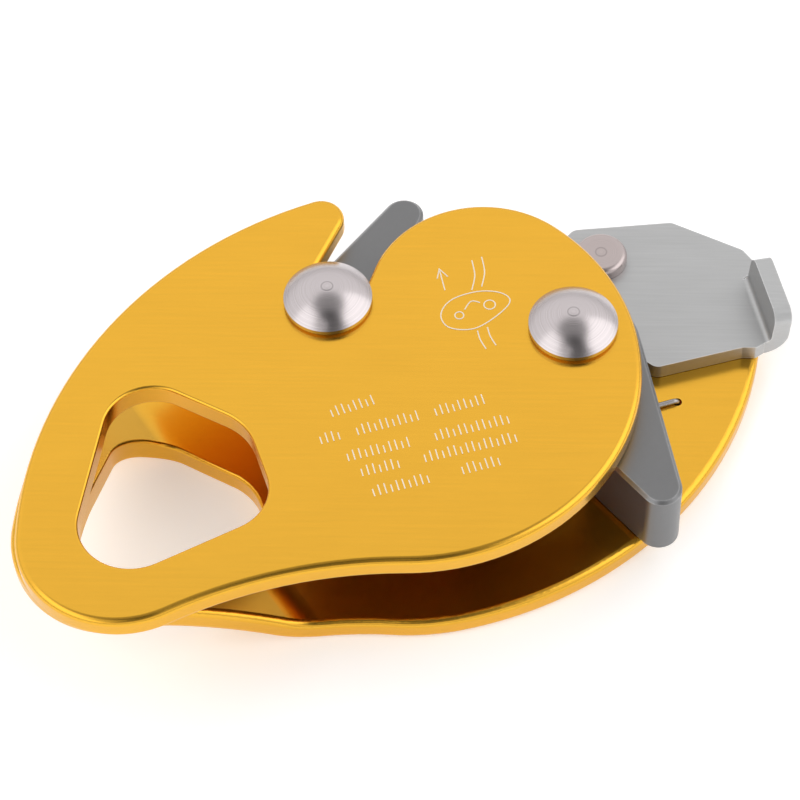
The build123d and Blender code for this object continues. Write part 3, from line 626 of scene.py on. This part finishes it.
def rounded_plate(name, node, rims, body, material):
    """A flat plate rebuilt with evenly divided rims; its outline and skins come from the CAD node."""
    low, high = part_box(node)
    skin = flat_skin(node)
    bm = bmesh.new()
    normals = {}
    skin_copies = []
    for z, way in ((high.z, 1), (low.z, -1)):
        copies = {v: bm.verts.new((v.co.x, v.co.y, z)) for v in skin.verts}
        for face in skin.faces:
            corners = [copies[v] for v in face.verts]
            facing = face.normal.z * way > 0
            normals[bm.faces.new(corners if facing else corners[::-1])] = Vector((0, 0, way))
        skin_copies.append(copies)
    loops = sorted(boundary_loops(skin), key=len, reverse=True)
    for loop in loops:
        radius = rim_radius(loop, loops, rims)
        build_rim(bm, loop, rim_profile(radius, rims.steps, high.z - low.z), high.z, skin_copies, normals)
    skin.free()
    return finish_plate(name, bm, normals, material, body)


def rim_radius(loop, loops, rims):
    """Rounding of the outer rim or of the connector eye; none at the plain pivot hole."""
    xs = [vert.co.x for vert, _ in loop]
    spans = [max(v.co.x for v, _ in other) - min(v.co.x for v, _ in other) for other in loops]
    span = max(xs) - min(xs)
    if span == max(spans):
        return rims.outer
    return 0.0 if span == min(spans) else rims.eye


def build_rim(bm, loop, profile, top, skins, normals):
    """Rings of quads down a rim, from the upper skin's boundary to the lower one's."""
    rings = []
    for index, (out, drop, tilt) in enumerate(profile):
        if index in (0, len(profile) - 1):
            ring = [skins[bool(index)][vert] for vert, _ in loop]
        else:
            ring = [bm.verts.new(Vector((v.co.x, v.co.y, top - drop)) + way * out) for v, way in loop]
        level, upward = math.sin(math.radians(tilt)), math.cos(math.radians(tilt))
        rings.append((ring, [way * level + Vector((0, 0, upward)) for _, way in loop]))
    count = len(loop)
    for (upper, upper_normals), (lower, lower_normals) in zip(rings, rings[1:]):
        for i in range(count):
            j = (i + 1) % count
            face = bm.faces.new((upper[i], upper[j], lower[j], lower[i]))
            face.normal_update()
            corner_normals = {upper[i]: upper_normals[i], upper[j]: upper_normals[j],
                              lower[i]: lower_normals[i], lower[j]: lower_normals[j]}
            if face.normal.dot(upper_normals[i] + lower_normals[i]) < 0:
                face.normal_flip()
            normals[face] = corner_normals


def finish_plate(name, bm, normals, material, body):
    """Piece with every corner's normal set."""
    bm.faces.index_update()
    corner_normals = []
    for face in bm.faces:
        face.smooth = True
        wanted = normals[face]
        for corner in face.loops:
            corner_normals.append(wanted[corner.vert] if isinstance(wanted, dict) else wanted)
    piece = piece_from(name, bm, material, body)
    piece.data.normals_split_custom_set(corner_normals)
    return piece


# -------------------------------------------------------------------------- operators
class ROPEGRAB_OT_side_plates(bpy.types.Operator):
    """Finish both side plates in gold anodising"""
    bl_idname = "ropegrab.side_plates"
    bl_label = "Side plates"

    def execute(self, context):
        material = anodised_material(context.scene.ropegrab_finishes)
        dress(("rear_plate",), material)
        front = rounded_plate("front_side_plate", "front_plate", context.scene.ropegrab_rims, "front",
                              material)
        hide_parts("front_plate")
        return {"FINISHED"}


class ROPEGRAB_OT_cam_and_lever(bpy.types.Operator):
    """Finish the brake cam and the rope lever in grey coating"""
    bl_idname = "ropegrab.cam_and_lever"
    bl_label = "Cam and lever"

    def execute(self, context):
        dress(GREY_NODES, grey_material(context.scene.ropegrab_finishes))
        return {"FINISHED"}


class ROPEGRAB_OT_catch(bpy.types.Operator):
    """Finish the cam catch in brushed steel"""
    bl_idname = "ropegrab.catch"
    bl_label = "Catch"

    def execute(self, context):
        dress(CATCH_NODES, catch_material(context.scene.ropegrab_finishes))
        return {"FINISHED"}


class ROPEGRAB_OT_rivets(bpy.types.Operator):
    """Finish the rivets in turned steel"""
    bl_idname = "ropegrab.rivets"
    bl_label = "Rivets"

    def execute(self, context):
        finishes = context.scene.ropegrab_finishes
        dress(("main_rivet",), turned_material("turned_main_rivet", finishes.rivet, CAM_PIVOT,
                                               RIVET_ROUGHNESS))
        dress(("stop_rivet",), turned_material("turned_stop_rivet", finishes.rivet, STOP_RIVET,
                                               RIVET_ROUGHNESS))
        dress(FLAT_RIVET_NODES, turned_material("turned_catch_rivet", finishes.blush, CATCH_PIVOT,
                                                FLAT_RIVET_ROUGHNESS))
        return {"FINISHED"}


class ROPEGRAB_OT_bearings(bpy.types.Operator):
    """Finish pins, sleeves, bushes and washers"""
    bl_idname = "ropegrab.bearings"
    bl_label = "Pins and bearings"

    def execute(self, context):
        finishes = context.scene.ropegrab_finishes
        dress(PIN_NODES, drawn_material("ground_steel", finishes.pin, PIN_ROUGHNESS))
        dress(BRONZE_NODES, drawn_material("bearing_bronze", finishes.bronze, BRONZE_ROUGHNESS))
        return {"FINISHED"}


class ROPEGRAB_OT_springs(bpy.types.Operator):
    """Finish the torsion springs in drawn wire"""
    bl_idname = "ropegrab.springs"
    bl_label = "Springs"

    def execute(self, context):
        finishes = context.scene.ropegrab_finishes
        dress(SPRING_NODES, drawn_material("spring_wire", finishes.wire, WIRE_ROUGHNESS))
        return {"FINISHED"}


class ROPEGRAB_OT_marks(bpy.types.Operator):
    """Lay plain laser marks on the front plate: a rope route and rows of ticks"""
    bl_idname = "ropegrab.marks"
    bl_label = "Laser marks"

    def execute(self, context):
        marks = context.scene.ropegrab_marks
        material = mark_material(context.scene.ropegrab_finishes)
        z = FACE_Z + marks.lift
        bm = bmesh.new()
        route_sign(bm, marks.stroke, z)
        piece_from("rope_route_mark", bm, material, "front")
        bm = bmesh.new()
        data_rows(bm, marks.tick, marks.pitch, marks.stroke, z)
        piece_from("data_row_marks", bm, material, "front")
        return {"FINISHED"}


def route_sign(bm, stroke, z):
    """Plain sign of a rope that passes through the tool, with a direction arrow."""
    for shift in ROPE_SHIFTS:
        ribbon(bm, smooth_points(scaled(ROPE_ABOVE, shift)), stroke, z)
        ribbon(bm, smooth_points(scaled(ROPE_BELOW, shift)), stroke, z)
    ribbon(bm, smooth_points(scaled(SIGN_OUTLINE), closed=True), stroke, z, closed=True)
    for centre, radius in SIGN_PINS:
        ribbon(bm, ring_points(scaled([centre])[0], radius * MM), stroke, z, closed=True)
    ribbon(bm, smooth_points(scaled(SIGN_BEND)), stroke, z)
    ribbon(bm, scaled(ARROW_SHAFT), stroke, z)
    ribbon(bm, scaled(ARROW_HEAD), stroke, z)


def data_rows(bm, height, pitch, stroke, z):
    """Rows of plain ticks, high and low, where a maker's data would stand."""
    for start, end, groups in DATA_ROWS:
        along = (Vector(end) - Vector(start)).normalized() * pitch
        across = Vector((-along.y, along.x)).normalized() * height / 2
        spare = (Vector(end) - Vector(start)) * MM - along * sum(groups)
        place = Vector(start) * MM
        for ticks in groups:
            for tick in range(ticks):
                reach = 1.0 if tick % SHORT_TICK_STEP else SHORT_TICK
                ribbon(bm, [tuple(place - across), tuple(place + across * reach)], stroke, z)
                place = place + along
            place = place + spare / max(1, len(groups) - 1)


class ROPEGRAB_OT_stage(bpy.types.Operator):
    """Set the pale floor, the soft lights and the camera"""
    bl_idname = "ropegrab.stage"
    bl_label = "Stage"

    def execute(self, context):
        stage = context.scene.ropegrab_stage
        make_floor(stage)
        make_world(context.scene, stage)
        make_lights(stage)
        make_camera(context.scene, stage)
        return {"FINISHED"}


def look_direction(stage):
    """Unit vector from the camera to the tool."""
    level = math.cos(stage.elevation)
    return Vector((math.sin(stage.turn) * level, math.cos(stage.turn) * level,
                   -math.sin(stage.elevation)))


def make_floor(stage):
    """Large level floor just under the tool."""
    half = stage.floor / 2
    bm = bmesh.new()
    bm.faces.new([bm.verts.new((x * half, y * half, 0)) for x, y in ((-1, -1), (1, -1), (1, 1), (-1, 1))])
    mesh = bpy.data.meshes.new("floor")
    bm.to_mesh(mesh)
    bm.free()
    mesh.materials.append(floor_material())
    floor = bpy.data.objects.new("floor", mesh)
    floor.location.z = CAD_BOX[0][2] - FLOOR_GAP
    bpy.context.scene.collection.objects.link(floor)


def make_world(scene, stage):
    """Soft room: light walls, a dimmer ceiling and a dark patch where the viewer stands."""
    world = bpy.data.worlds.new("soft_room")
    world.use_nodes = True
    tree = world.node_tree
    direction = add_node(tree, "ShaderNodeTexCoord").outputs["Generated"]
    split = add_node(tree, "ShaderNodeSeparateXYZ")
    tree.links.new(direction, split.inputs[0])
    ramp = add_node(tree, "ShaderNodeValToRGB")
    tree.links.new(split.outputs["Z"], ramp.inputs["Fac"])
    while len(ramp.color_ramp.elements) < len(ROOM_BY_HEIGHT):
        ramp.color_ramp.elements.new(0.5)
    for element, (position, value) in zip(ramp.color_ramp.elements, ROOM_BY_HEIGHT):
        element.position = position
        element.color = (value, value, value, 1)
    viewer = add_node(tree, "ShaderNodeVectorMath", operation="DOT_PRODUCT")
    tree.links.new(direction, viewer.inputs[0])
    viewer.inputs[1].default_value = -look_direction(stage)
    patch = add_node(tree, "ShaderNodeMapRange", interpolation_type="SMOOTHSTEP")
    for label, value in (("From Min", math.cos(PATCH_EDGE)), ("From Max", math.cos(PATCH_CORE)),
                         ("To Min", 1.0), ("To Max", PATCH_SHADE)):
        patch.inputs[label].default_value = value
    tree.links.new(viewer.outputs["Value"], patch.inputs["Value"])
    back = tree.nodes["Background"]
    strength = calculate(tree, "MULTIPLY", patch.outputs["Result"], stage.room)
    tree.links.new(ramp.outputs["Color"], back.inputs["Color"])
    tree.links.new(strength, back.inputs["Strength"])
    scene.world = world


def area_light(name, place, target, size, power):
    """Rectangular light aimed at a point."""
    data = bpy.data.lights.new(name, "AREA")
    data.shape = "RECTANGLE"
    data.size, data.size_y = size
    data.energy = power
    light = bpy.data.objects.new(name, data)
    light.location = place
    light.rotation_euler = (Vector(target) - Vector(place)).to_track_quat("-Z", "Y").to_euler()
    bpy.context.scene.collection.objects.link(light)


def make_lights(stage):
    """One soft light on each side of the tool."""
    centre = (Vector(CAD_BOX[0]) + Vector(CAD_BOX[1])) / 2
    area_light("right_light", centre + RIGHT_LIGHT, centre, LIGHT_SIZE, stage.key)
    area_light("left_light", centre + LEFT_LIGHT, centre, LIGHT_SIZE, stage.fill)


def make_camera(scene, stage):
    """Camera at its angle about the tool, rolled a little, looking at the middle of the plates."""
    low, high = Vector(CAD_BOX[0]), Vector(CAD_BOX[1])
    target = (low + high) / 2 + AIM_SHIFT
    view = look_direction(stage)
    right = view.cross(Vector((0, 0, 1))).normalized()
    up = right.cross(view)
    rolled_right = right * math.cos(stage.roll) - up * math.sin(stage.roll)
    rolled_up = up * math.cos(stage.roll) + right * math.sin(stage.roll)
    data = bpy.data.cameras.new("camera")
    data.lens = stage.lens
    data.sensor_width = SENSOR_WIDTH
    data.clip_start = CLIP_START
    camera = bpy.data.objects.new("camera", data)
    turn = Matrix((rolled_right, rolled_up, -view)).transposed().to_4x4()
    camera.matrix_world = Matrix.Translation(target - view * stage.distance) @ turn
    scene.collection.objects.link(camera)
    scene.camera = camera
    scene.view_settings.view_transform = "Standard"


class ROPEGRAB_PT_sidebar(bpy.types.Panel):
    """Sizes, colours and steps of the rope grab"""
    bl_idname = "ROPEGRAB_PT_sidebar"
    bl_label = "Rope grab"
    bl_space_type = "VIEW_3D"
    bl_region_type = "UI"
    bl_category = "Rope Grab"

    def draw(self, context):
        for name in GROUPS:
            group = getattr(context.scene, name)
            box = self.layout.box()
            for value in group.__annotations__:
                box.prop(group, value)
        for operator in OPERATORS:
            self.layout.operator(operator.bl_idname)


OPERATORS = (ROPEGRAB_OT_side_plates, ROPEGRAB_OT_cam_and_lever, ROPEGRAB_OT_catch, ROPEGRAB_OT_rivets,
             ROPEGRAB_OT_bearings, ROPEGRAB_OT_springs, ROPEGRAB_OT_marks, ROPEGRAB_OT_stage)
GROUPS = {"ropegrab_finishes": RopeGrabFinishes, "ropegrab_rims": RopeGrabRims,
          "ropegrab_marks": RopeGrabMarks, "ropegrab_stage": RopeGrabStage}
CLASSES = tuple(GROUPS.values()) + OPERATORS + (ROPEGRAB_PT_sidebar,)


def register():
    for item in CLASSES:
        bpy.utils.register_class(item)
    for name, group in GROUPS.items():
        setattr(bpy.types.Scene, name, PointerProperty(type=group))


def unregister():
    for name in GROUPS:
        delattr(bpy.types.Scene, name)
    for item in reversed(CLASSES):
        bpy.utils.unregister_class(item)


def main():
    register()
    for operator in OPERATORS:
        family, name = operator.bl_idname.split(".")
        getattr(getattr(bpy.ops, family), name)()


if __name__ == "__main__":
    main()
